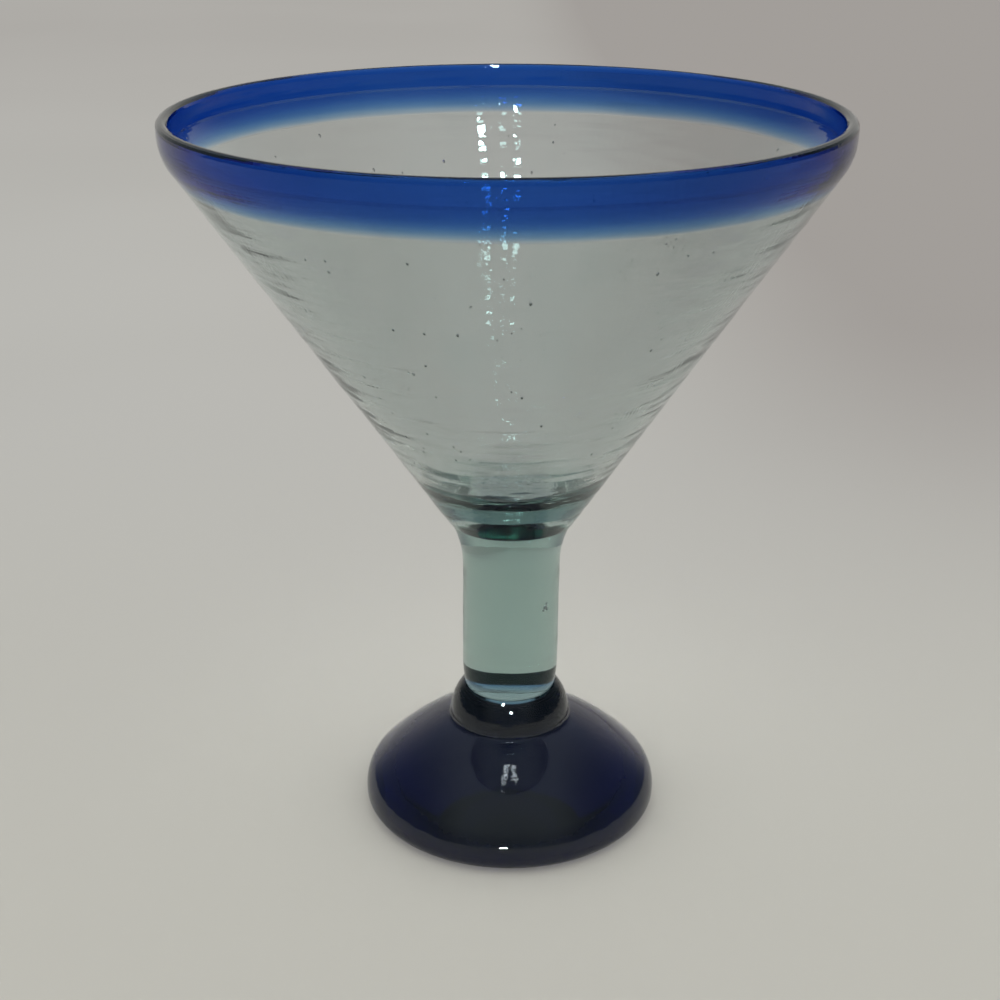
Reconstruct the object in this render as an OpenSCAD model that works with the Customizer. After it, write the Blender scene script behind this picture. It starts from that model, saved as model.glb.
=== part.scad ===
// Margarita glass of hand-worked glass, in millimetres.
// Five gathers of glass, each drawn as a half section that is turned about the upright Z axis.
// The origin is the centre of the foot's footprint, and the rim is the highest point.

/* [Foot] */
// Diameter of the foot at its widest
foot_d = 69.6; // [60:0.2:90]
// Height of the foot, from the table to the face that carries the knop
foot_h = 22.3; // [18:0.1:30]
// Width of the ledge that the foot's neck leaves around the knop
foot_ledge_w = 1; // [0.4:0.1:3]
// Height of the upright part of the foot's edge
foot_edge_h = 0.6; // [0.2:0.1:3]
// Radius of the foot's lower edge
foot_low_r = 3.5; // [2:0.1:6]
// Radius of the foot's upper edge
foot_top_r = 8; // [4:0.1:11]
// Radius of the domed top, from the neck down to the edge
foot_dome_r = 60; // [40:1:120]
// Diameter of the hollow under the foot
hollow_d = 52; // [30:1:52]
// Depth of the hollow under the foot
hollow_h = 2; // [1:0.1:5]

/* [Knop] */
// Diameter of the knop at its widest
knop_d = 28.2; // [26:0.2:36]
// Height of the knop
knop_h = 8.9; // [7:0.1:12]
// Height of the knop's widest line above the foot
knop_belly_h = 1.2; // [0.5:0.1:3]
// Width of the knop's top edge around the stem
knop_lip_w = 0.3; // [0.2:0.1:1]

/* [Stem] */
// Diameter of the stem
stem_d = 22.4; // [20:0.2:23]
// Length of the stem, with the end that is sunk in the knop
stem_l = 44.2; // [35:0.2:90]
// Depth to which the stem's end is sunk in the knop
stem_sink = 2; // [1:0.1:3]
// Radius of the edge of the stem's flat lower end
stem_end_r = 1.5; // [0.5:0.1:4]
// Width by which the stem draws in towards the knop
stem_taper_w = 0.6; // [0.2:0.1:1.5]
// Height over which the stem draws in
stem_taper_h = 7; // [4:0.5:12]
// Diameter of the flared top that carries the bowl
stem_top_d = 28.4; // [25:0.2:34]
// Radius of the flare under the bowl
stem_flare_r = 25; // [12:1:40]

/* [Bowl] */
// Height of the bowl, from the stem to the rim
bowl_h = 91.6; // [80:0.2:130]
// Width by which the bowl's base stands out past the stem
bowl_ledge_w = 0.4; // [0.2:0.1:2]
// Diameter of the rim
rim_d = 144; // [120:1:160]
// Thickness of the bowl's wall
wall_t = 2.6; // [2:0.1:4]
// Thickness of the solid glass under the bowl's floor
floor_t = 9.6; // [7:0.1:14]
// Radius of the curve from the floor into the wall
floor_r = 12; // [8:0.5:15]
// Radius of the turn from the sloping wall to the upright lip
shoulder_r = 11; // [6:0.5:20]
// Height of the straight part of the lip
lip_h = 1.7; // [0.5:0.1:6]

/* [Rim band] */
// Depth of the coloured band on the outside of the bowl
band_h = 12; // [11:0.5:24]
// Depth of the coloured band on the inside of the bowl
band_inner_h = 5; // [4:0.5:8]

/* [Hidden] */
$fn = 96;

// Number of straight steps that draw each quarter turn of an arc
STEPS = 24;

// Distance by which the band's slanting joint is drawn past both faces of the wall
JOINT_PAST = 0.1;

knop_z = foot_h;
stem_z = knop_z + knop_h - stem_sink;
bowl_z = stem_z + stem_l;
total_h = bowl_z + bowl_h;
foot_rad = foot_d / 2;
rim_rad = rim_d / 2;

// Points of an arc in the half section, from angle a0 to angle a1
function arc(c, r, a0, a1) =
    let (n = max(4, ceil(abs(a1 - a0) * STEPS / 90)))
    [for (i = [0:n]) c + r * [cos(a0 + (a1 - a0) * i / n), sin(a0 + (a1 - a0) * i / n)]];

// Direction of the line from p to q, in degrees from the radial direction
function heading(p, q) = atan2(q[1] - p[1], q[0] - p[0]);

// Crossing of the circle of radius a about p with the circle of radius b about q, right of p to q
function crossing(p, a, q, b) =
    let (d = norm(q - p), x = (d * d + a * a - b * b) / (2 * d), y = sqrt(a * a - x * x), u = (q - p) / d)
    p + x * u + y * [u[1], -u[0]];

// Stem: seat_rad is its radius where it enters the knop, and the flare runs smoothly into its side
end_rad = stem_d / 2 - stem_taper_w;
seat_rise = max(0, stem_end_r - stem_sink);
seat_rad = end_rad - stem_end_r + sqrt(stem_end_r * stem_end_r - seat_rise * seat_rise);
taper_r = (stem_taper_w * stem_taper_w + stem_taper_h * stem_taper_h) / (2 * stem_taper_w);
taper_c = [stem_d / 2 - taper_r, stem_z + max(stem_end_r, stem_sink) + stem_taper_h];
flare_w = (stem_top_d - stem_d) / 2;
flare_h = sqrt(2 * stem_flare_r * flare_w - flare_w * flare_w);
flare_c = [stem_d / 2 + stem_flare_r, bowl_z - flare_h];

// Knop: its flank is an arc that is upright at the belly and ends at the lip around the stem
flank_w = knop_d / 2 - seat_rad - knop_lip_w;
flank_h = knop_h - knop_belly_h;
knop_r = (flank_w * flank_w + flank_h * flank_h) / (2 * flank_w);
knop_c = [knop_d / 2 - knop_r, knop_z + knop_belly_h];
knop_base_rad = knop_c[0] + sqrt(knop_r * knop_r - knop_belly_h * knop_belly_h);

// Foot: its dome is an arc that starts at the neck and runs smoothly into the rounded upper edge
edge_c = [foot_rad - foot_top_r, foot_low_r + foot_edge_h];
neck_p = [knop_base_rad + foot_ledge_w, foot_h];
dome_c = crossing(neck_p, foot_dome_r, edge_c, foot_dome_r - foot_top_r);
dome_a = heading(dome_c, edge_c);
hollow_rad = hollow_d / 2;
hollow_r = (hollow_rad * hollow_rad + hollow_h * hollow_h) / (2 * hollow_h);
hollow_a = asin(hollow_rad / hollow_r);

// Bowl: wall_a is the slope of the wall from the upright, with the wall tangent to the shoulder
base_p = [stem_top_d / 2 + bowl_ledge_w, bowl_z];
shoulder_c = [rim_rad - shoulder_r, total_h - wall_t / 2 - lip_h];
wall_a = 90 - heading(base_p, shoulder_c) + asin(shoulder_r / norm(shoulder_c - base_p));
wall_n = [cos(wall_a), -sin(wall_a)];
inner_p = base_p - wall_t * wall_n;
floor_c_z = bowl_z + floor_t + floor_r;
floor_c_r = inner_p[0] + ((floor_c_z - inner_p[1]) * sin(wall_a) - floor_r) / cos(wall_a);
lip_c = [rim_rad - wall_t / 2, total_h - wall_t / 2];

// Half section of the foot, with the hollow under it
module foot_section() {
    polygon(concat(
        arc([0, hollow_h - hollow_r], hollow_r, 90, 90 - hollow_a),
        arc([foot_rad - foot_low_r, foot_low_r], foot_low_r, -90, 0),
        arc(edge_c, foot_top_r, 0, dome_a),
        arc(dome_c, foot_dome_r, dome_a, heading(dome_c, neck_p)),
        [[0, foot_h]]
    ));
}

// Half section of the stem, from its flat lower end, past the taper, to the flare under the bowl
module stem_section() {
    polygon(concat(
        [[0, stem_z]],
        arc([end_rad - stem_end_r, stem_z + stem_end_r], stem_end_r, -90, 0),
        arc(taper_c, taper_r, -asin(stem_taper_h / taper_r), 0),
        arc(flare_c, stem_flare_r, 180, 180 - asin(flare_h / stem_flare_r)),
        [[0, bowl_z]]
    ));
}

// Half section of the knop, before the stem is sunk in it
module knop_section() {
    polygon(concat(
        [[0, knop_z]],
        arc(knop_c, knop_r, -asin(knop_belly_h / knop_r), asin(flank_h / knop_r)),
        [[0, knop_z + knop_h]]
    ));
}

// Half section of the whole bowl wall, with its solid base and its rounded lip
module wall_section() {
    polygon(concat(
        [[0, bowl_z]],
        [base_p],
        arc(shoulder_c, shoulder_r, -wall_a, 0),
        arc(lip_c, wall_t / 2, 0, 180),
        arc(shoulder_c, shoulder_r - wall_t, 0, -wall_a),
        arc([floor_c_r, floor_c_z], floor_r, -wall_a, -90),
        [[0, bowl_z + floor_t]]
    ));
}

// Radius of the wall at height z, at a depth inset below its outer face
function wall_rad(z, inset) =
    let (r = shoulder_r - inset, h = shoulder_c[1] - z)
    h < 0 ? rim_rad - inset
    : h < r * sin(wall_a) ? shoulder_c[0] + sqrt(r * r - h * h)
    : shoulder_c[0] + r * cos(wall_a) - (h - r * sin(wall_a)) * tan(wall_a);

// Half section of all that lies above the slanting joint between the clear wall and the band
module band_zone() {
    in_p = [wall_rad(total_h - band_inner_h, wall_t) - JOINT_PAST, total_h - band_inner_h];
    out_p = [wall_rad(total_h - band_h, 0) + JOINT_PAST, total_h - band_h];
    polygon([
        in_p,
        out_p,
        [rim_rad + wall_t, out_p[1]],
        [rim_rad + wall_t, total_h + wall_t],
        [in_p[0] - wall_t, total_h + wall_t],
        [in_p[0] - wall_t, in_p[1]]
    ]);
}

module foot() {
    color("midnightblue") rotate_extrude() foot_section();
}

module knop() {
    color("darkslateblue") rotate_extrude() difference() {
        knop_section();
        stem_section();
    }
}

module stem() {
    color("darkseagreen") rotate_extrude() stem_section();
}

module bowl() {
    color([0.80, 0.86, 0.84, 0.5]) rotate_extrude() difference() {
        wall_section();
        band_zone();
    }
}

module rim_band() {
    color("royalblue") rotate_extrude() intersection() {
        wall_section();
        band_zone();
    }
}

foot();
knop();
stem();
bowl();
rim_band();
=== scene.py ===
# %% [markdown]
# # A hand-blown margarita glass
# The glass is five gathers of hot glass: a clear blown bowl, a cobalt band melted round its lip, a
# solid aqua stem, a cobalt knop and a heavy cobalt foot. The solids of the frame give each gather
# its size and its place. This script dresses them: it turns a finer outline of each gather about
# the upright axis, works it with soft rings and waves, and gives it glass that is coloured
# by how far the light travels in it.

# %% The frame
import math

import bmesh
import bpy
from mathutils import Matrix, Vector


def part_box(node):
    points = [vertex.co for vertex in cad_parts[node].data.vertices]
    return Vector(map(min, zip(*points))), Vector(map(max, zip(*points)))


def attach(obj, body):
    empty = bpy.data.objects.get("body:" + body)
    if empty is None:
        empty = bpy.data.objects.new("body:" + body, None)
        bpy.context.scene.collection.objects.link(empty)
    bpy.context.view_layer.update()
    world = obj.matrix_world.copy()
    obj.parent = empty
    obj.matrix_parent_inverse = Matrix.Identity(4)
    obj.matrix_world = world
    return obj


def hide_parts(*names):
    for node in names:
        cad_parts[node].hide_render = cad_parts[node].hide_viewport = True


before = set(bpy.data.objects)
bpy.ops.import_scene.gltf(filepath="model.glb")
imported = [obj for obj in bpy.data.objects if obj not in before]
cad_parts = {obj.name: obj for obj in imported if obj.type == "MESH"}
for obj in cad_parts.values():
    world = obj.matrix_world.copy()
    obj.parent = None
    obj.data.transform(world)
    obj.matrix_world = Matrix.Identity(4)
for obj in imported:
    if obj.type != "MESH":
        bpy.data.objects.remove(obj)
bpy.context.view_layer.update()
MM = 0.001
print("nodes:", sorted(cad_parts))

# %% [markdown]
# ## The camera
# The view is a little from above, so that the round rim shows as an open ellipse. The camera stands
# close, which makes the front of the rim larger than its back. Its place was worked out from the
# widths of the five rings that are seen: the rim, the waist, the two edges of the knop and the foot.

# %% The camera
camera_data = bpy.data.cameras.new("camera")
camera_data.sensor_width = 36
camera_data.lens = 59.4
camera = bpy.data.objects.new("camera", camera_data)
bpy.context.scene.collection.objects.link(camera)
LOOK_DOWN = 22.36
camera.location = (-2.33 * MM, -347.8 * MM, 220.4 * MM)
camera.rotation_euler = (math.radians(90 - LOOK_DOWN), 0, 0)
bpy.context.scene.camera = camera
bpy.context.scene.view_settings.view_transform = "Standard"
print(f"camera {math.hypot(*camera.location):.3f} m from the middle of the foot")

# %% [markdown]
# ## Sizes
# The heights and widths come from the boxes of the frame's own solids, so this script follows the
# frame. What a box can't tell, such as a wall's thickness or the radius of a curve, is named here.
# All sizes are in millimetres, and a mesh is scaled to metres when it is made.


# %% Sizes from the frame
def span(node):
    """A node's radius, and its lowest and highest point, in millimetres."""
    low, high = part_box(node)
    return (high[0] - low[0]) / 2 / MM, low[2] / MM, high[2] / MM


FOOT_R, _, FOOT_H = span("foot")
KNOP_R, _, KNOP_TOP = span("knop")
STEM_TOP_R, STEM_Z, BOWL_Z = span("stem")
RIM_R, BAND_Z, TOTAL_H = span("rim_band")
WALL = 2.6
FLOOR_T = 9.6
FLOOR_CURVE = 12.0
SHOULDER = 11.0
LIP_H = 1.7
BAND_INNER = 5.0
STEM_R = 11.2
STEM_END = 1.5
STEM_TAPER = 0.6
STEM_TAPER_H = 7.0
STEM_FLARE = 25.0
LEDGE = 0.4
KNOP_BELLY = 1.2
KNOP_LIP = 0.3
FOOT_NECK = 1.0
NECK_ROUND = 1.5
FOOT_EDGE_H = 0.6
FOOT_LOW = 3.5
FOOT_TOP = 8.0
FOOT_DOME = 60.0
HOLLOW_R = 26.0
HOLLOW_H = 2.0
print(f"glass {TOTAL_H:.1f} mm high, rim {2 * RIM_R:.1f} mm, foot {2 * FOOT_R:.1f} mm")

# %% [markdown]
# ## Outlines
# Every gather is a turned form, so half of its section is all that has to be drawn. An outline
# runs anticlockwise in the plane of radius and height. Round stretches are arcs, and straight ones
# are divided as well, because the hand-worked surface needs points all along it.

# %% Arcs and lines
STEP = 0.6
FINE = 0.35
ARC_LEAST = 6
SAME = 1e-4


def arc(centre, radius, start, end, step=STEP):
    """Points of an arc, from one angle to another in degrees, about one step apart."""
    count = max(ARC_LEAST, round(abs(math.radians(end - start)) * radius / step))
    angles = [math.radians(start + (end - start) * i / count) for i in range(count + 1)]
    return [(centre[0] + radius * math.cos(a), centre[1] + radius * math.sin(a)) for a in angles]


def join(*parts):
    """One outline from points and arcs, with long gaps divided into steps."""
    points = [p for part in parts for p in (part if isinstance(part, list) else [part])]
    out = [points[0]]
    for q in points[1:]:
        p = out[-1]
        gap = math.dist(p, q)
        if gap < SAME:
            continue
        count = max(1, round(gap / STEP))
        shares = [i / count for i in range(1, count + 1)]
        out += [(p[0] + (q[0] - p[0]) * share, p[1] + (q[1] - p[1]) * share) for share in shares]
    return out


def heading(p, q):
    """Direction from p to q, in degrees from the radial direction."""
    return math.degrees(math.atan2(q[1] - p[1], q[0] - p[0]))


def within(share):
    """A share, kept between 0 and 1."""
    return min(max(share, 0.0), 1.0)


# %% The wall's slope, shared by the bowl and the band
base = (STEM_TOP_R + LEDGE, BOWL_Z)
shoulder = (RIM_R - SHOULDER, TOTAL_H - WALL / 2 - LIP_H)
slope = 90 - heading(base, shoulder) + math.degrees(math.asin(SHOULDER / math.dist(base, shoulder)))
SIN, COS = math.sin(math.radians(slope)), math.cos(math.radians(slope))
inner_base = (base[0] - WALL * COS, base[1] + WALL * SIN)
floor_z = BOWL_Z + FLOOR_T
floor_c_z = floor_z + FLOOR_CURVE
floor_c = (inner_base[0] + ((floor_c_z - inner_base[1]) * SIN - FLOOR_CURVE) / COS, floor_c_z)
lip = (RIM_R - WALL / 2, TOTAL_H - WALL / 2)
print(f"the wall leans {slope:.1f} degrees from the upright")


def wall_point(z, inset):
    """The point of the wall at a height, at a depth inset below its outer face."""
    r, h = SHOULDER - inset, shoulder[1] - z
    if h < 0:
        return RIM_R - inset, z
    if h < r * SIN:
        return shoulder[0] + math.sqrt(r * r - h * h), z
    return shoulder[0] + r * COS - (h - r * SIN) * SIN / COS, z


def through_wall(r, z):
    """The way out through the wall at a point, and its depth: 0 on the outer face, 1 on the inner."""
    if z >= shoulder[1]:
        out, depth = (1.0, 0.0), RIM_R - r
    else:
        reach = math.dist((r, z), shoulder)
        out, depth = ((r - shoulder[0]) / reach, (z - shoulder[1]) / reach), SHOULDER - reach
        if out[1] < -SIN:
            out, depth = (COS, -SIN), (base[0] - r) * COS - (base[1] - z) * SIN
    return out, within(depth / WALL)


# %% [markdown]
# The bowl and the band share the wall. The joint between them slants through it, which makes the
# band thin away downwards, and that is why its blue fades out. Pieces of glass that are fused reach
# into each other by a hair.

# %% Outlines of the bowl and the band
FUSE = 0.03
WALL_FROM = 0.5
band_in = wall_point(TOTAL_H - BAND_INNER, WALL)


def face(z_from, z_to, inset):
    """Points on one face of the wall between two heights."""
    count = max(1, round(abs(z_to - z_from) / STEP))
    return [wall_point(z_from + (z_to - z_from) * i / count, inset) for i in range(count + 1)]


bowl_outline = join(
    (0, BOWL_Z),
    base,
    face(BOWL_Z + WALL_FROM, BAND_Z, 0),
    band_in,
    face(TOTAL_H - BAND_INNER, floor_c_z, WALL),
    arc(floor_c, FLOOR_CURVE, -slope, -90),
    (0, floor_z),
)
band_outline = join(
    face(BAND_Z - FUSE, shoulder[1], 0),
    arc(lip, WALL / 2, 0, 180),
    face(shoulder[1], band_in[1] - FUSE, WALL),
    wall_point(BAND_Z - FUSE, 0),
)
print("points: bowl", len(bowl_outline), "band", len(band_outline))

# %% [markdown]
# The stem's end is sunk in the knop. A film of air is trapped under it, and the pale crescent that
# the photograph shows in the knop is the room, mirrored by that film.

# %% Outlines of the stem and the knop
flare_w = STEM_TOP_R - STEM_R
flare_h = math.sqrt(2 * STEM_FLARE * flare_w - flare_w**2)
flare_a = math.degrees(math.asin(flare_h / STEM_FLARE))
seat_r = STEM_R - STEM_TAPER
end_c = (seat_r - STEM_END, STEM_Z + STEM_END)


def tapered(z):
    """The stem draws in a little towards its lower end."""
    up = within((z - KNOP_TOP) / STEM_TAPER_H)
    return STEM_R - STEM_TAPER * (1 - up) ** 2, z


TAPER_STEPS = 14
stem_outline = join(
    (0, STEM_Z),
    arc(end_c, STEM_END, -90, 0),
    [tapered(KNOP_TOP + STEM_TAPER_H * i / TAPER_STEPS) for i in range(TAPER_STEPS + 1)],
    arc((STEM_R + STEM_FLARE, BOWL_Z - flare_h), STEM_FLARE, 180, 180 - flare_a),
    (STEM_TOP_R, BOWL_Z + FUSE),
    (0, BOWL_Z + FUSE),
)
FILM = 0.05
FILM_EDGE = 0.3
FILM_ANGLE = 80.0
flank_w = KNOP_R - seat_r - KNOP_LIP
flank_h = KNOP_TOP - FOOT_H - KNOP_BELLY
knop_round = (flank_w**2 + flank_h**2) / (2 * flank_w)
knop_c = (KNOP_R - knop_round, FOOT_H + KNOP_BELLY)
knop_base_r = knop_c[0] + math.sqrt(knop_round**2 - KNOP_BELLY**2)
low_a = math.degrees(math.asin(KNOP_BELLY / knop_round))
high_a = math.degrees(math.asin(flank_h / knop_round))
knop_outline = join(
    (0, FOOT_H),
    arc(knop_c, knop_round, -low_a, high_a),
    (seat_r - FUSE, KNOP_TOP),
    arc(end_c, STEM_END - FUSE, 0, -FILM_ANGLE),
    (end_c[0] - FILM_EDGE, STEM_Z - FILM),
    (0, STEM_Z - FILM),
)
print(f"the stem enters the knop at a radius of {seat_r:.1f} mm")

# %% [markdown]
# The foot is a dome with a round edge. Where it meets the knop, the hot glass ran into a small
# fillet, which climbs a little way up the knop and covers its lowest part.

# %% Outline of the foot
edge_c = (FOOT_R - FOOT_TOP, FOOT_LOW + FOOT_EDGE_H)
neck = (knop_base_r + FOOT_NECK, FOOT_H)
gap = math.dist(neck, edge_c)
along = (gap**2 + FOOT_DOME**2 - (FOOT_DOME - FOOT_TOP) ** 2) / (2 * gap)
aside = math.sqrt(FOOT_DOME**2 - along**2)
ux, uz = (edge_c[0] - neck[0]) / gap, (edge_c[1] - neck[1]) / gap
dome_c = (neck[0] + along * ux + aside * uz, neck[1] + along * uz - aside * ux)
dome_a = heading(dome_c, edge_c)
hollow_ball = (HOLLOW_R**2 + HOLLOW_H**2) / (2 * HOLLOW_H)
hollow_a = math.degrees(math.asin(HOLLOW_R / hollow_ball))
neck_r = KNOP_R + NECK_ROUND
neck_c = (neck_r, dome_c[1] + math.sqrt((FOOT_DOME + NECK_ROUND) ** 2 - (neck_r - dome_c[0]) ** 2))
neck_a = heading(dome_c, neck_c)
foot_outline = join(
    arc((0, HOLLOW_H - hollow_ball), hollow_ball, 90, 90 - hollow_a),
    arc((FOOT_R - FOOT_LOW, FOOT_LOW), FOOT_LOW, -90, 0, FINE),
    arc(edge_c, FOOT_TOP, 0, dome_a, FINE),
    arc(dome_c, FOOT_DOME, dome_a, neck_a, FINE),
    arc(neck_c, NECK_ROUND, neck_a + 180, 180, FINE / 2),
    (KNOP_R - 2 * FUSE, neck_c[1]),
    (KNOP_R - 2 * FUSE, FOOT_H + FUSE),
    (0, FOOT_H + FUSE),
)
print("points: stem", len(stem_outline), "knop", len(knop_outline), "foot", len(foot_outline))

# %% [markdown]
# ## Sums on sockets
# Materials and Geometry Nodes both need sums. Writing them as Python expressions keeps them
# readable, so one small class wraps a socket and turns each operator into a Math node.


# %% A socket that can be used in sums
class Value:
    """A socket of a node tree. An expression on it adds its Math nodes."""

    def __init__(self, nodes, socket):
        self.nodes, self.socket = nodes, socket

    def math(self, operation, a, b=0.0):
        return self.nodes.add("ShaderNodeMath", {"operation": operation}, {0: a, 1: b})

    def __add__(self, other):
        return self.math("ADD", self, other)

    def __sub__(self, other):
        return self.math("SUBTRACT", self, other)

    def __rsub__(self, other):
        return self.math("SUBTRACT", other, self)

    def __mul__(self, other):
        return self.math("MULTIPLY", self, other)

    def __truediv__(self, other):
        return self.math("DIVIDE", self, other)

    def __rtruediv__(self, other):
        return self.math("DIVIDE", other, self)

    __radd__ = __add__
    __rmul__ = __mul__

    def part(self, name):
        """One of the three numbers of a vector."""
        return self.nodes.add("ShaderNodeSeparateXYZ", None, {0: self}, name)

    def ramp(self, low, high):
        """0 at low, 1 at high, and smooth between them."""
        ends = {"Value": self, "From Min": low, "From Max": high}
        return self.nodes.add("ShaderNodeMapRange", {"interpolation_type": "SMOOTHSTEP"}, ends)


class Nodes:
    """Adds nodes to one tree."""

    def __init__(self, tree):
        self.tree = tree

    def add(self, kind, settings=None, sockets=None, out=0):
        """Adds a node: its settings first, then the values or links of its sockets."""
        node = self.tree.nodes.new(kind)
        for key, value in (settings or {}).items():
            setattr(node, key, value)
        for key, value in (sockets or {}).items():
            if isinstance(value, Value):
                self.tree.links.new(value.socket, node.inputs[key])
            else:
                node.inputs[key].default_value = value
        return Value(self, node.outputs[out])

    def noise(self, place, size, detail=1.0, w=0.0):
        """Noise whose grains are about one size, in metres. It is near 0.5 on the whole."""
        sockets = {"Vector": place, "W": w, "Scale": 1 / size, "Detail": detail}
        return self.add("ShaderNodeTexNoise", {"noise_dimensions": "4D"}, sockets)

    def mix(self, low, high, factor):
        """One colour where the factor is 0, and another where it is 1."""
        return self.add("ShaderNodeMix", {"data_type": "RGBA"}, {"Factor": factor, 6: low, 7: high}, 2)


# %% [markdown]
# ## Turning a gather
# A glassworker turns the pipe while the tools shape the glass, so every gather is round, with soft
# rings where the tools touched it and slow waves where it sagged. That is a rule, so Geometry
# Nodes make it: a grid takes each row from one point of the outline and each column from one
# angle, and noise then pushes the skin in and out. Each point of an outline carries the way out
# through the glass, how strongly it is worked, and how deep in the wall it lies, so that the inner
# face has rings of its own.

# %% The turning tree
INPUTS = [
    ("Steps Around", "NodeSocketInt"),
    ("Ring Depth", "NodeSocketFloat"),
    ("Ring Height", "NodeSocketFloat"),
    ("Ring Length", "NodeSocketFloat"),
    ("Wave Depth", "NodeSocketFloat"),
    ("Wave Size", "NodeSocketFloat"),
    ("Seed", "NodeSocketFloat"),
    ("Glass", "NodeSocketMaterial"),
]


def new_tree(name, inputs):
    """A Geometry Nodes tree with a geometry input and output, and its named inputs."""
    tree = bpy.data.node_groups.new(name, "GeometryNodeTree")
    tree.interface.new_socket("Geometry", in_out="INPUT", socket_type="NodeSocketGeometry")
    for label, kind in inputs:
        tree.interface.new_socket(label, in_out="INPUT", socket_type=kind)
    tree.interface.new_socket("Geometry", in_out="OUTPUT", socket_type="NodeSocketGeometry")
    nodes = Nodes(tree)
    source = tree.nodes.new("NodeGroupInput")
    given = {socket.name: Value(nodes, socket) for socket in source.outputs if socket.name}
    return tree, nodes, given


def close_tree(nodes, geometry, material):
    """Ends a tree in Realize Instances and Set Material."""
    real = nodes.add("GeometryNodeRealizeInstances", None, {0: geometry})
    done = nodes.add("GeometryNodeSetMaterial", None, {0: real, "Material": material})
    nodes.tree.links.new(done.socket, nodes.tree.nodes.new("NodeGroupOutput").inputs[0])


SHARP = 28.0
LAYER_SEED = 7.3
WAVE_SEED = 3.1
WELD = 0.002


def turning_tree():
    """The tree that turns the points of an outline into the skin of a gather."""
    tree, nodes, given = new_tree("turned_glass", INPUTS)
    outline, columns = given["Geometry"], given["Steps Around"] + 1.0
    rows = nodes.add("GeometryNodeAttributeDomainSize", {"component": "MESH"}, {0: outline})
    grid = nodes.add("GeometryNodeMeshGrid", None, {"Vertices X": rows, "Vertices Y": columns})
    index = nodes.add("GeometryNodeInputIndex")
    row = (index / columns).math("FLOOR", index / columns)
    angle = (index - row * columns) / given["Steps Around"] * math.tau
    cosine, sine = angle.math("COSINE", angle), angle.math("SINE", angle)

    def sample(kind, value):
        settings = {"data_type": kind, "domain": "POINT"}
        sockets = {0: outline, "Value": value, "Index": row}
        return nodes.add("GeometryNodeSampleIndex", settings, sockets)

    def fact(label):
        named = nodes.add("GeometryNodeInputNamedAttribute", {"data_type": "FLOAT"}, {"Name": label})
        return sample("FLOAT", named)

    def spot(radius, height):
        sockets = {0: radius * cosine, 1: radius * sine, 2: height}
        return nodes.add("ShaderNodeCombineXYZ", None, sockets)

    place = sample("FLOAT_VECTOR", nodes.add("GeometryNodeInputPosition"))
    radius, height = place.part("X"), place.part("Z")
    here = spot(radius, height)
    layer = given["Seed"] + fact("depth") * LAYER_SEED
    long, tall = given["Ring Length"], given["Ring Height"]
    ring_spot = {0: radius * cosine / long, 1: radius * sine / long, 2: height / tall}
    rings = nodes.noise(nodes.add("ShaderNodeCombineXYZ", None, ring_spot), 1.0, 1.5, layer)
    wave_scale = {0: here, "Scale": 1 / given["Wave Size"]}
    wave_spot = nodes.add("ShaderNodeVectorMath", {"operation": "SCALE"}, wave_scale)
    waves = nodes.noise(wave_spot, 1.0, 1.0, layer + WAVE_SEED)
    push = ((rings - 0.5) * given["Ring Depth"] + (waves - 0.5) * given["Wave Depth"]) * fact("work")
    worked = spot(radius + push * fact("out_r"), height + push * fact("out_z"))
    turned = nodes.add("GeometryNodeSetPosition", None, {0: grid, "Position": worked})
    closed = nodes.add("GeometryNodeMergeByDistance", None, {0: turned, "Distance": WELD * MM})
    bend = nodes.add("GeometryNodeInputMeshEdgeAngle")
    soft = bend.math("LESS_THAN", bend, math.radians(SHARP))
    shading = {0: closed, "Shade Smooth": soft}
    smooth = nodes.add("GeometryNodeSetShadeSmooth", {"domain": "EDGE"}, shading)
    close_tree(nodes, smooth, given["Glass"])
    return tree


TURN = turning_tree()
print("turning tree:", len(TURN.nodes), "nodes")


# %% Running a tree and keeping its mesh
LEAN_Z = 30.0
STEM_LEAN = 0.3
BOWL_LEAN = -1.2


def leaning(z):
    """How far the glass leans to the side at a height, in metres: hand-made glass is never plumb."""
    up = within((z / MM - LEAN_Z) / (BOWL_Z - LEAN_Z))
    tilt = max(z / MM - BOWL_Z, 0) / (TOTAL_H - BOWL_Z)
    return (STEM_LEAN * up * up * (3 - 2 * up) + BOWL_LEAN * tilt) * MM


def run_tree(name, tree, mesh, **values):
    """Runs a tree on a mesh, with its inputs set by name, and returns the result as a plain object."""
    obj = bpy.data.objects.new(name, mesh)
    bpy.context.scene.collection.objects.link(obj)
    modifier = obj.modifiers.new("made", "NODES")
    modifier.node_group = tree
    ids = {item.name: item.identifier for item in tree.interface.items_tree if item.in_out == "INPUT"}
    for label, value in values.items():
        modifier[ids[label.replace("_", " ")]] = value
    evaluated = obj.evaluated_get(bpy.context.evaluated_depsgraph_get())
    result = bpy.data.meshes.new_from_object(evaluated)
    obj.modifiers.remove(modifier)
    obj.data = result
    result.name = name
    return obj


def signed_volume(mesh):
    """The volume that a mesh closes, in cubic metres. It is negative when the faces point inwards."""
    mesh.calc_loop_triangles()
    corners = [[mesh.vertices[i].co for i in triangle.vertices] for triangle in mesh.loop_triangles]
    return sum(a.dot(b.cross(c)) for a, b, c in corners) / 6


def outline_facts(outline, work):
    """The way out and the amount of work at each point of an outline, from its own direction."""
    facts = []
    for i, (r, z) in enumerate(outline):
        p, q = outline[max(i - 1, 0)], outline[min(i + 1, len(outline) - 1)]
        along = math.dist(p, q)
        facts.append(((q[1] - p[1]) / along, (p[0] - q[0]) / along, work(r, z), 0.0))
    return facts


def mark(obj, label, values):
    """Keeps one number for each face of a piece."""
    obj.data.attributes.new(label, "FLOAT", "FACE").data.foreach_set("value", values)


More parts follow.
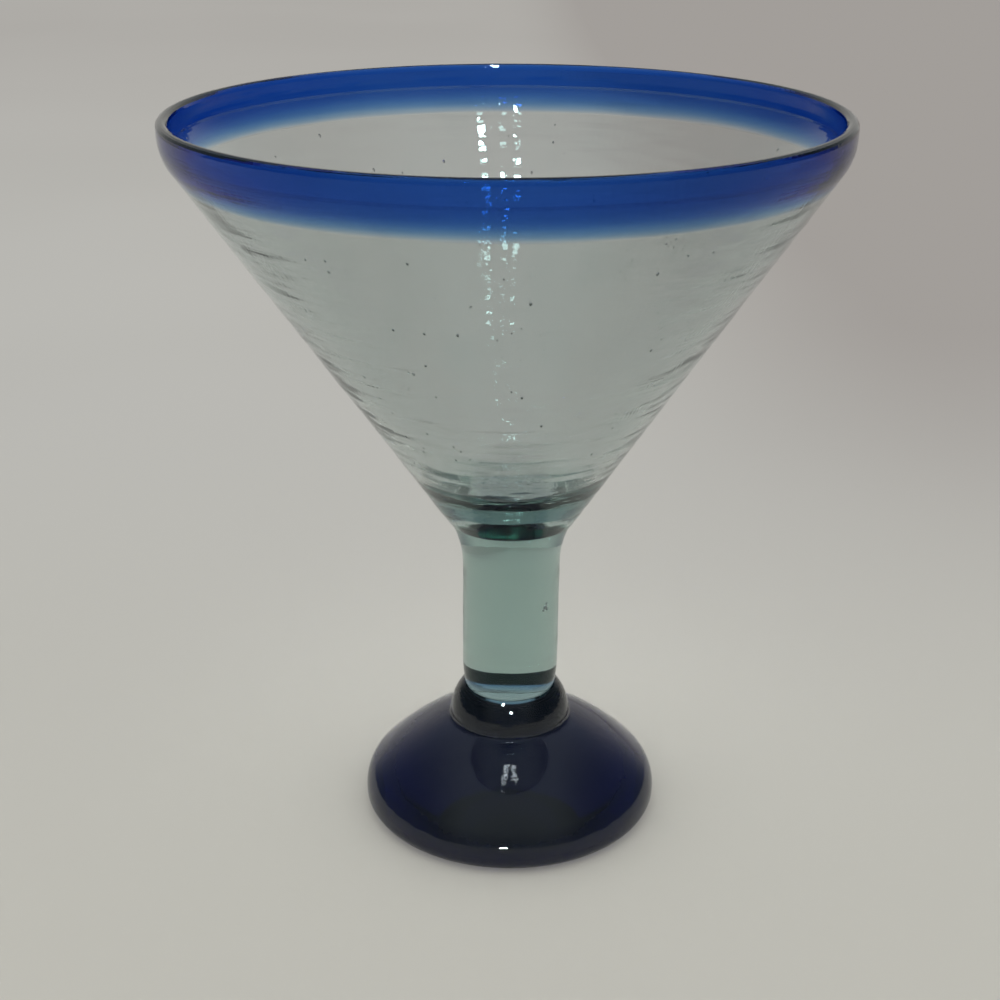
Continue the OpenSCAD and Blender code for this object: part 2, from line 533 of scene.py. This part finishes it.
def turn(name, outline, facts, material, is_joint, **values):
    """Turns an outline into a closed gather of glass, with its fused faces marked."""
    points = bpy.data.meshes.new(name + "_outline")
    points.from_pydata([(r * MM, 0, z * MM) for r, z in outline], [], [])
    for label, column in zip(("out_r", "out_z", "work", "depth"), zip(*facts)):
        points.attributes.new(label, "FLOAT", "POINT").data.foreach_set("value", column)
    obj = run_tree(name, TURN, points, Glass=material, **values)
    if signed_volume(obj.data) < 0:
        obj.data.flip_normals()
    rows = [is_joint((p[0] + q[0]) / 2, (p[1] + q[1]) / 2) for p, q in zip(outline, outline[1:])]
    mark(obj, "fused", [float(row) for row in rows for _ in range(values["Steps_Around"])])
    for vertex in obj.data.vertices:
        vertex.co.x += leaning(vertex.co.z)
    print(name, "faces:", len(obj.data.polygons), f"volume: {signed_volume(obj.data) * 1e6:.2f} cm3")
    return obj


def stands_for(obj, slot, *nodes):
    """Hides the frame's solids that a piece stands for and attaches it to the root. Its finish is not
    used.
    """
    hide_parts(*nodes)
    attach(obj, "root")


# %% [markdown]
# ## Glass
# The colour of solid glass isn't on its surface. Light loses a little of each colour for every
# millimetre that it travels, so a thin wall looks clear and a thick foot looks almost black. A
# Volume Absorption shader does just that. The surface itself has a faint tint and haze, cords where
# the melt was uneven, and a slight unevenness that the tools left. Where a piece is fused to its
# neighbour there is no surface at all, so those faces are see-through. The skin of a bubble is bare:
# it has no tint.


# %% A glass of one colour
INDEX = 1.5
WHITE = (1, 1, 1, 1)
CORD_SIZE = 9.0
CORD_SQUEEZE = 0.35
UNEVEN_SIZE = 5.0
UNEVEN_DEPTH = 0.1
SCUFF_SIZE = 1.2
SCUFF_Z = (0.1, 0.9)
SCUFF_LEAST = 0.25
SCUFF_MORE = 0.5


def glass(name, absorb, skin, haze, bump, scuffed=False):
    """Glass that absorbs so much red, green and blue per millimetre.

    Its skin is a tint, the tint of its cords and the colour of its shine.
    """
    tint, cord_tint, shine = skin
    material = bpy.data.materials.new(name)
    material.use_nodes = True
    nodes = Nodes(material.node_tree)
    surface = material.node_tree.nodes["Principled BSDF"]
    surface.inputs["Transmission Weight"].default_value = 1 - haze
    surface.inputs["IOR"].default_value = INDEX
    surface.inputs["Specular Tint"].default_value = shine
    place = nodes.add("ShaderNodeTexCoord", None, None, "Object")
    upright = {"Vector": place, "Scale": (1.0, 1.0, CORD_SQUEEZE)}
    stretched = nodes.add("ShaderNodeMapping", None, upright)
    cords = nodes.noise(stretched, CORD_SIZE * MM, 3.0).ramp(0.48, 0.7)
    bare = nodes.add("ShaderNodeAttribute", {"attribute_name": "bare"}, None, "Fac")
    fused = nodes.add("ShaderNodeAttribute", {"attribute_name": "fused"}, None, "Fac")
    colour = nodes.mix(nodes.mix(tint, cord_tint, cords), WHITE, bare)
    dents = nodes.noise(place, UNEVEN_SIZE * MM, 2.0)
    uneven = {"Height": dents, "Strength": bump, "Distance": UNEVEN_DEPTH * MM}
    bumped = nodes.add("ShaderNodeBump", None, uneven)
    links = material.node_tree.links
    links.new(colour.socket, surface.inputs["Base Color"])
    links.new(bumped.socket, surface.inputs["Normal"])
    links.new((1 - fused).socket, surface.inputs["Alpha"])
    if scuffed:
        low = 1 - place.part("Z").ramp(SCUFF_Z[0] * MM, SCUFF_Z[1] * MM)
        wear = low * (SCUFF_LEAST + SCUFF_MORE * nodes.noise(place, SCUFF_SIZE * MM, 2.0))
        links.new(wear.socket, surface.inputs["Roughness"])
    else:
        surface.inputs["Roughness"].default_value = 0
    soak(material, absorb)
    return material


def soak(material, absorb):
    """Makes light lose so much red, green and blue per millimetre on its way through a piece."""
    most = max(absorb)
    volume = material.node_tree.nodes.new("ShaderNodeVolumeAbsorption")
    volume.inputs["Color"].default_value = (*(1 - a / most for a in absorb), 1)
    volume.inputs["Density"].default_value = most / MM
    output = material.node_tree.nodes["Material Output"]
    material.node_tree.links.new(volume.outputs[0], output.inputs["Volume"])


# %% [markdown]
# Each colour below is what the glass takes away from red, green and blue per millimetre. Each skin
# holds a tint, the tint of the cords and the colour of the shine.

# %% The five glasses
CLEAR = (0.045, 0.031, 0.033)
AQUA = (0.041, 0.027, 0.030)
COBALT = (1.6, 0.85, 0.21)
DEEP_COBALT = (0.8, 0.5, 0.075)
KNOP_COBALT = (0.8, 0.5, 0.2)
CLEAR_SHINE = (0.6, 1.0, 1.0, 1)
CLEAR_SKIN = ((0.89, 0.895, 0.89, 1), (0.86, 0.875, 0.87, 1), CLEAR_SHINE)
AQUA_SKIN = ((0.97, 0.98, 0.985, 1), (0.92, 0.95, 0.95, 1), CLEAR_SHINE)
RIM_SKIN = ((0.98, 0.98, 1, 1), (0.93, 0.93, 0.98, 1), (0.35, 0.6, 0.85, 1))
BLUE_SKIN = ((0.98, 0.98, 1, 1), (0.9, 0.93, 0.98, 1), (0.85, 0.95, 1, 1))
clear_glass = glass("blown_clear_glass", CLEAR, CLEAR_SKIN, haze=0.022, bump=0.25)
aqua_glass = glass("drawn_aqua_glass", AQUA, AQUA_SKIN, haze=0.008, bump=0.25)
rim_glass = glass("cobalt_rim_glass", COBALT, RIM_SKIN, haze=0.0, bump=0.25)
knop_glass = glass("cobalt_knop_glass", KNOP_COBALT, BLUE_SKIN, haze=0.004, bump=0.3)
foot_glass = glass("cobalt_foot_glass", DEEP_COBALT, BLUE_SKIN, haze=0.012, bump=0.3, scuffed=True)
print("glasses:", ", ".join(m.name for m in bpy.data.materials))


# %% [markdown]
# ## The bowl and its band
# The bowl was blown and then opened with jacks, which leaves many fine rings low on the wall, short
# and uneven, where the wall is thick. Higher up the wall is stretched, and the rings fade. The band
# follows the same wall, so both take the same work and the same seed and stay flush.

# %% The bowl and the band
WALL_WORK = dict(
    Steps_Around=224,
    Ring_Depth=0.32 * MM,
    Ring_Height=3.0 * MM,
    Ring_Length=20 * MM,
    Wave_Depth=0.5 * MM,
    Wave_Size=28 * MM,
    Seed=4.0,
)
JOINT_FADE = 4.0
FLOOR_FADE = 16.0
STRETCH_Z = 125.0
STRETCH_H = 30.0
STRETCH = 0.45
SKIN = 0.02
HAIR = 0.01


def wall_facts(outline):
    """The way out, the amount of work and the depth in the wall at each point of an outline."""
    facts = []
    for r, z in outline:
        out, depth = through_wall(r, z)
        from_joint = within((z - BOWL_Z) / JOINT_FADE)
        from_floor = within(r / FLOOR_FADE)
        stretched = 1 - STRETCH * within((z - STRETCH_Z) / STRETCH_H)
        facts.append((*out, from_joint * from_floor**2 * stretched, depth))
    return facts


def in_slant(r, z):
    """Whether a face lies on the slanting joint between the bowl and the band."""
    return BAND_Z - 1 < z < band_in[1] + 1 and SKIN < through_wall(r, z)[1] < 1 - SKIN


def bowl_joint(r, z):
    return in_slant(r, z) or (z < BOWL_Z + HAIR and r < STEM_TOP_R)


bowl = turn("bowl_wall", bowl_outline, wall_facts(bowl_outline), clear_glass, bowl_joint, **WALL_WORK)

# %% [markdown]
# ## The bubble in the waist
# Between the bowl and the stem the photograph shows a dark lens with a flat top. It is a flat bubble
# of air that was trapped when the bowl was stuck on the stem. Its underside slopes like a funnel, so
# it throws the light that comes in from the front down the stem, to the dark foot. It is turned like
# the rest and then pressed out of round: wide along its bottom and a little square, with a straight
# front. A cavity is a closed shell whose faces point out of the glass, which is into the bubble.

# %% The bubble
BUBBLE_Z = BOWL_Z + 0.3
BUBBLE_TOP = BOWL_Z + 5.5
BUBBLE_LOW_R = 3.0
BUBBLE_TOP_R = 8.0
BUBBLE_LOW_W = 2.5
BUBBLE_TOP_W = 1.2
BUBBLE_DOME = 0.2
BUBBLE_SAG = 0.1
DOME_OUT = 0.6
DOME_RISE = 0.7
SQUARE = 3.0
bubble_outline = join(
    (0, BUBBLE_Z - BUBBLE_SAG),
    (BUBBLE_LOW_R, BUBBLE_Z),
    (BUBBLE_TOP_R, BUBBLE_TOP),
    (BUBBLE_TOP_R * DOME_OUT, BUBBLE_TOP + BUBBLE_DOME * DOME_RISE),
    (0, BUBBLE_TOP + BUBBLE_DOME),
)


def unfused(r, z):
    """A bubble is fused to nothing."""
    return False


def all_over(r, z):
    """Its skin is worked all over."""
    return 1.0


BUBBLE_WORK = dict(
    Steps_Around=96,
    Ring_Depth=0.0,
    Ring_Height=3 * MM,
    Ring_Length=30 * MM,
    Wave_Depth=0.3 * MM,
    Wave_Size=8 * MM,
    Seed=21.0,
)
bubble_facts = outline_facts(bubble_outline, all_over)
bubble = turn("bubble", bubble_outline, bubble_facts, clear_glass, unfused, **BUBBLE_WORK)
for vertex in bubble.data.vertices:
    x, y, z = vertex.co / MM
    up = within((z - BUBBLE_Z) / (BUBBLE_TOP - BUBBLE_Z))
    reach = max(math.hypot(x, y), 1e-6)
    square = (abs(x / reach) ** SQUARE + abs(y / reach) ** SQUARE) ** (-1 / SQUARE)
    vertex.co.x *= square * (BUBBLE_LOW_W + (BUBBLE_TOP_W - BUBBLE_LOW_W) * up)
    vertex.co.y *= square
bubble.data.flip_normals()
first = len(bowl.data.polygons)
bubble_faces = range(first, first + len(bubble.data.polygons))


def trap(glass_piece, cavity):
    """Takes a cavity into the mesh of the glass around it."""
    joined = bmesh.new()
    joined.from_mesh(glass_piece.data)
    joined.from_mesh(cavity.data)
    joined.to_mesh(glass_piece.data)
    joined.free()
    bpy.data.objects.remove(cavity)


trap(bowl, bubble)
print("bowl with its bubble:", len(bowl.data.polygons), "faces")

# %% [markdown]
# Small seeds of air are scattered through the wall, as recycled glass has them. Geometry Nodes
# strew them over a cone that runs through the middle of the wall, and draw each of them out a
# little along it.

# %% Seeds in the wall
SEED_INPUTS = [
    ("Count Per Area", "NodeSocketFloat"),
    ("Smallest", "NodeSocketFloat"),
    ("Largest", "NodeSocketFloat"),
    ("Seed", "NodeSocketInt"),
    ("Glass", "NodeSocketMaterial"),
]
SEED_LENGTH = 1.7


def seeding_tree():
    """The tree that strews seeds over a surface."""
    tree, nodes, given = new_tree("seeds", SEED_INPUTS)
    sockets = {0: given["Geometry"], "Density": given["Count Per Area"], "Seed": given["Seed"]}
    spots = nodes.add("GeometryNodeDistributePointsOnFaces", None, sockets)
    ball = nodes.add("GeometryNodeMeshIcoSphere", None, {"Radius": 1.0, "Subdivisions": 2})
    smooth = nodes.add("GeometryNodeSetShadeSmooth", None, {0: ball})
    ends = {2: given["Smallest"], 3: given["Largest"], "Seed": given["Seed"]}
    size = nodes.add("FunctionNodeRandomValue", {"data_type": "FLOAT"}, ends, 1)
    turn_of = Value(nodes, spots.socket.node.outputs["Rotation"])
    drawn = nodes.add("ShaderNodeCombineXYZ", None, {0: size, 1: size * SEED_LENGTH, 2: size})
    sockets = {0: spots, "Instance": smooth, "Rotation": turn_of, "Scale": drawn}
    seeds = nodes.add("GeometryNodeInstanceOnPoints", None, sockets)
    close_tree(nodes, seeds, given["Glass"])
    return tree


SIDES, ROWS = 48, 11
ROW_Z, ROW_H = BOWL_Z + 4, 7.5
SEED_FACES = 80
middle = [wall_point(ROW_Z + ROW_H * i, WALL / 2) for i in range(ROWS)]
cone_points = []
for r, z in middle:
    for k in range(SIDES):
        turned_by = math.tau * k / SIDES
        cone_points.append((r * math.cos(turned_by) * MM, r * math.sin(turned_by) * MM, z * MM))
cone_faces = []
for row in range(len(middle) - 1):
    for k in range(SIDES):
        low, next_low = row * SIDES + k, row * SIDES + (k + 1) % SIDES
        cone_faces.append((low, next_low, next_low + SIDES, low + SIDES))
cone = bpy.data.meshes.new("middle_of_wall")
cone.from_pydata(cone_points, [], cone_faces)
SEEDING = dict(Count_Per_Area=6500.0, Smallest=0.1 * MM, Largest=0.3 * MM, Seed=7)
seeds = run_tree("seeds", seeding_tree(), cone, Glass=clear_glass, **SEEDING)
for vertex in seeds.data.vertices:
    vertex.co.x += leaning(vertex.co.z)
if signed_volume(seeds.data) > 0:
    seeds.data.flip_normals()
print("seeds:", len(seeds.data.polygons) // SEED_FACES)
trap(bowl, seeds)
mark(bowl, "bare", [float(i in bubble_faces) for i in range(len(bowl.data.polygons))])
stands_for(bowl, "clear_glass", "bowl")
band = turn("cobalt_band", band_outline, wall_facts(band_outline), rim_glass, in_slant, **WALL_WORK)
stands_for(band, "cobalt_rim", "rim_band")

# %% [markdown]
# ## The stem, the knop and the foot
# These are solid gathers. The stem was drawn and hardly touched. The knop and the foot were pressed
# and turned, and have only slow waves.

# %% Where the solid gathers are worked, and where they are fused
STEM_LOW_FADE = 3.0
STEM_HIGH_FADE = 5.0
KNOP_FADE = 2.0
FOOT_LOW_FADE = 3.0
FOOT_NECK_FADE = 6.0
COVERED_W = 0.5


def stem_work(r, z):
    return within((z - KNOP_TOP) / STEM_LOW_FADE) * within((BOWL_Z - z) / STEM_HIGH_FADE)


def knop_work(r, z):
    return within((z - neck_c[1]) / KNOP_FADE) if r > seat_r + KNOP_LIP else 0.0


def foot_work(r, z):
    from_neck = r - knop_base_r - FOOT_NECK
    return within((z - 1) / FOOT_LOW_FADE) * within(from_neck / FOOT_NECK_FADE)


def stem_joint(r, z):
    return z > BOWL_Z + FUSE / 2 or (z < KNOP_TOP and r > end_c[0])


def knop_joint(r, z):
    covered = z < neck_c[1] - FUSE and r > KNOP_R - COVERED_W
    return covered or z < FOOT_H + HAIR or end_c[0] < r < seat_r - 2 * HAIR


def foot_joint(r, z):
    return z > FOOT_H and r < KNOP_R - FUSE / 2


print(f"the foot's fillet ends {neck_c[1] - FOOT_H:.2f} mm up the knop")

# %% The stem
STEM_WORK = dict(
    Steps_Around=160,
    Ring_Depth=0.05 * MM,
    Ring_Height=5 * MM,
    Ring_Length=30 * MM,
    Wave_Depth=0.35 * MM,
    Wave_Size=16 * MM,
    Seed=9.0,
)
stem_facts = outline_facts(stem_outline, stem_work)
stem = turn("aqua_stem", stem_outline, stem_facts, aqua_glass, stem_joint, **STEM_WORK)

# %% A speck in the stem
# Each bubble of the speck has its place and its radius.
SPECK = (
    (7.6, -6.6, 53.6, 0.5),
    (7.9, -6.0, 52.9, 0.35),
    (7.2, -7.0, 53.0, 0.3),
    (7.8, -6.3, 54.4, 0.3),
)
for x, y, z, size in SPECK:
    blown = bmesh.new()
    bmesh.ops.create_icosphere(blown, subdivisions=2, radius=size * MM)
    bmesh.ops.translate(blown, verts=blown.verts, vec=(x * MM, y * MM, z * MM))
    bmesh.ops.reverse_faces(blown, faces=blown.faces)
    for cavity_face in blown.faces:
        cavity_face.smooth = True
    void = bpy.data.objects.new("void", bpy.data.meshes.new("void"))
    blown.to_mesh(void.data)
    blown.free()
    trap(stem, void)
stands_for(stem, "aqua_glass", "stem")

# %% The knop and the foot
KNOP_WORK = dict(
    Steps_Around=160,
    Ring_Depth=0.05 * MM,
    Ring_Height=3 * MM,
    Ring_Length=30 * MM,
    Wave_Depth=0.15 * MM,
    Wave_Size=14 * MM,
    Seed=12.0,
)
FOOT_WORK = dict(
    Steps_Around=288,
    Ring_Depth=0.05 * MM,
    Ring_Height=4 * MM,
    Ring_Length=40 * MM,
    Wave_Depth=0.3 * MM,
    Wave_Size=30 * MM,
    Seed=15.0,
)
knop_facts = outline_facts(knop_outline, knop_work)
knop = turn("cobalt_knop", knop_outline, knop_facts, knop_glass, knop_joint, **KNOP_WORK)
stands_for(knop, "cobalt_knop", "knop")
foot_facts = outline_facts(foot_outline, foot_work)
foot = turn("cobalt_foot", foot_outline, foot_facts, foot_glass, foot_joint, **FOOT_WORK)
stands_for(foot, "cobalt_foot", "foot")

# %% [markdown]
# ## The floor
# The glass stands on a plain pale cloth. A wide plane is enough, with a faint mottle in its colour.
# Light and shade are painted into that colour: painted light makes it lightest in front, and painted
# shade dims it towards the back, most of all on the right. A small part of its light is a painted
# glow of its own, which softens the shadow of the glass. It lies a hair under the foot, so that no
# faces lie in each other.

# %% The floor
PALE = (0.535, 0.525, 0.495, 1)
MOTTLE_DARK = (0.525, 0.515, 0.485, 1)
MOTTLE_LIGHT = (0.545, 0.535, 0.505, 1)
MOTTLE_SIZE = 0.3
CLOTH_PAINTED_LIGHT = (0.6, 0.585, 0.53, 1)
CLOTH_PAINTED_SHADE = (0.4, 0.375, 0.355, 1)
CLOTH_GLOW = 0.15
BELOW = 0.2
bpy.ops.mesh.primitive_plane_add(size=12, location=(0, 0, -BELOW * MM))
floor = bpy.context.object
floor.name = "floor"
cloth = bpy.data.materials.new("floor_cloth")
cloth.use_nodes = True
cloth_nodes = Nodes(cloth.node_tree)
cloth_surface = cloth.node_tree.nodes["Principled BSDF"]
cloth_surface.inputs["Roughness"].default_value = 0.9
cloth_surface.inputs["Specular IOR Level"].default_value = 0
cloth_place = cloth_nodes.add("ShaderNodeTexCoord", None, None, "Object")
mottle = cloth_nodes.noise(cloth_place, MOTTLE_SIZE, 1.0).ramp(0.3, 0.7)
mottled = cloth_nodes.mix(MOTTLE_DARK, MOTTLE_LIGHT, mottle)
ahead, across = cloth_place.part("Y"), cloth_place.part("X")
# Painted light makes the cloth lighter in front, and painted shade makes it darker towards the back
# and the right.
near = 1 - ahead.ramp(-0.1, 0.3)
lit = cloth_nodes.mix(mottled, CLOTH_PAINTED_LIGHT, near)
painted_shade_back = ahead.ramp(0.0, 0.42) * across.ramp(0.0, 0.2) + ahead.ramp(0.3, 1.6) * 0.5
shaded = cloth_nodes.mix(lit, CLOTH_PAINTED_SHADE, painted_shade_back)
# Part of the cloth's colour is given as a painted glow, which softens the shadow of the glass.
returned = cloth_nodes.mix((0, 0, 0, 1), shaded, 1 - CLOTH_GLOW)
cloth.node_tree.links.new(returned.socket, cloth_surface.inputs["Base Color"])
cloth.node_tree.links.new(shaded.socket, cloth_surface.inputs["Emission Color"])
cloth_surface.inputs["Emission Strength"].default_value = CLOTH_GLOW
floor.data.materials.append(cloth)
print("the cloth reaches", floor.dimensions.x / 2, "m to each side")

# %% [markdown]
# ## Light
# Glass shows its surroundings, so the room matters more than the lamps. Diffuse surfaces see an even
# soft white. Reflections and what is seen through the glass find a room that is pale low down, a
# little cooler overhead, dimmer on the camera's side and dark to the left and the right. The dark
# sides draw the dark edges of the glass.

# %% The room
CEILING = (0.41, 0.45, 0.49, 1)
FRONT = (0.20, 0.24, 0.29, 1)
SIDE = (0.09, 0.12, 0.14, 1)
SOFT_WHITE = (1, 1, 0.99, 1)
world = bpy.data.worlds.new("studio")
world.use_nodes = True
bpy.context.scene.world = world
room_nodes = Nodes(world.node_tree)
direction = room_nodes.add("ShaderNodeTexCoord", None, None, "Generated")
overhead = direction.part("Z").ramp(0.25, 0.6)
in_front = (0 - direction.part("Y")).ramp(0.35, 0.95)
to_side = direction.part("X")
to_side = to_side.math("ABSOLUTE", to_side).ramp(0.4, 0.85)
room = room_nodes.mix(room_nodes.mix(PALE, CEILING, overhead), FRONT, in_front)
room = room_nodes.mix(room, SIDE, to_side)
path = room_nodes.add("ShaderNodeLightPath").socket.node.outputs
room = room_nodes.mix(room, SOFT_WHITE, Value(room_nodes, path["Is Diffuse Ray"]))
room = room_nodes.mix(room, PALE, Value(room_nodes, path["Is Camera Ray"]))
world.node_tree.links.new(room.socket, world.node_tree.nodes["Background"].inputs["Color"])
print("room:", len(world.node_tree.nodes), "nodes")

# %% [markdown]
# Small round lamps stand in front of the glass, some of them almost overhead. They don't light the
# floor, but the rings on the bowl turn them into chains of bright dots, and the knop and the foot
# show a few dots as well. Each group of lamps is mirrored only in the pieces that it is meant for.

# %% The lamps
LAMP_DISTANCE = 1.8
LAMP_GLOW = 150.0


def seen_in(name, *pieces):
    """The pieces in which a group of lamps is mirrored."""
    group = bpy.data.collections.new(name)
    for piece in pieces:
        group.objects.link(piece)
    return group


def lamp(group, side, height, diameter):
    """A round lamp, placed by its angle to the side and its angle above the floor, in degrees."""
    light = bpy.data.lights.new("lamp", "AREA")
    light.shape = "DISK"
    light.size = diameter
    light.energy = LAMP_GLOW * math.pi * math.pi * (diameter / 2) ** 2
    obj = bpy.data.objects.new("lamp", light)
    bpy.context.scene.collection.objects.link(obj)
    flat = LAMP_DISTANCE * math.cos(math.radians(height))
    obj.location = (
        flat * math.sin(math.radians(side)),
        -flat * math.cos(math.radians(side)),
        LAMP_DISTANCE * math.sin(math.radians(height)),
    )
    obj.rotation_euler = obj.location.to_track_quat("Z", "Y").to_euler()
    obj.visible_diffuse = False
    obj.light_linking.receiver_collection = group


# Each column of lamps stands at one angle to the side, and each lamp has its height and diameter.
BOWL_LAMPS = {
    15.5: ((62.4, 0.025), (60.8, 0.035), (58.2, 0.025), (56.8, 0.03), (55.2, 0.03)),
    1.5: ((62.5, 0.03), (58.6, 0.03), (57.2, 0.025), (56.0, 0.025), (55.1, 0.035)),
    -6.5: ((62.1, 0.03), (60.5, 0.025), (58.7, 0.025), (57.6, 0.025), (56.2, 0.02)),
}
HIGH_LAMPS = {
    -35.0: ((85.5, 0.08),),
    -18.0: ((84.0, 0.1), (81.5, 0.09), (79.0, 0.09), (76.5, 0.08)),
    45.0: ((85.5, 0.08),),
    20.0: ((83.5, 0.1), (81.0, 0.08), (78.5, 0.08)),
}
KNOP_LAMPS = {
    4.6: ((29.5, 0.16),),
    -16.5: ((50.3, 0.1), (3.0, 0.12)),
    6.2: ((51.1, 0.1),),
}
FOOT_LAMPS = {
    -3.0: ((5.0, 0.14),),
    3.5: ((12.0, 0.1),),
    14.5: ((6.0, 0.14),),
}
GROUPS = (
    (seen_in("mirrored_in_bowl", bowl, band), BOWL_LAMPS),
    (seen_in("mirrored_in_all", bowl, band, knop, foot), HIGH_LAMPS),
    (seen_in("mirrored_in_knop", knop), KNOP_LAMPS),
    (seen_in("mirrored_in_foot", foot), FOOT_LAMPS),
)
for group, columns in GROUPS:
    for column, spots in columns.items():
        for rise, diameter in spots:
            lamp(group, column, rise, diameter)
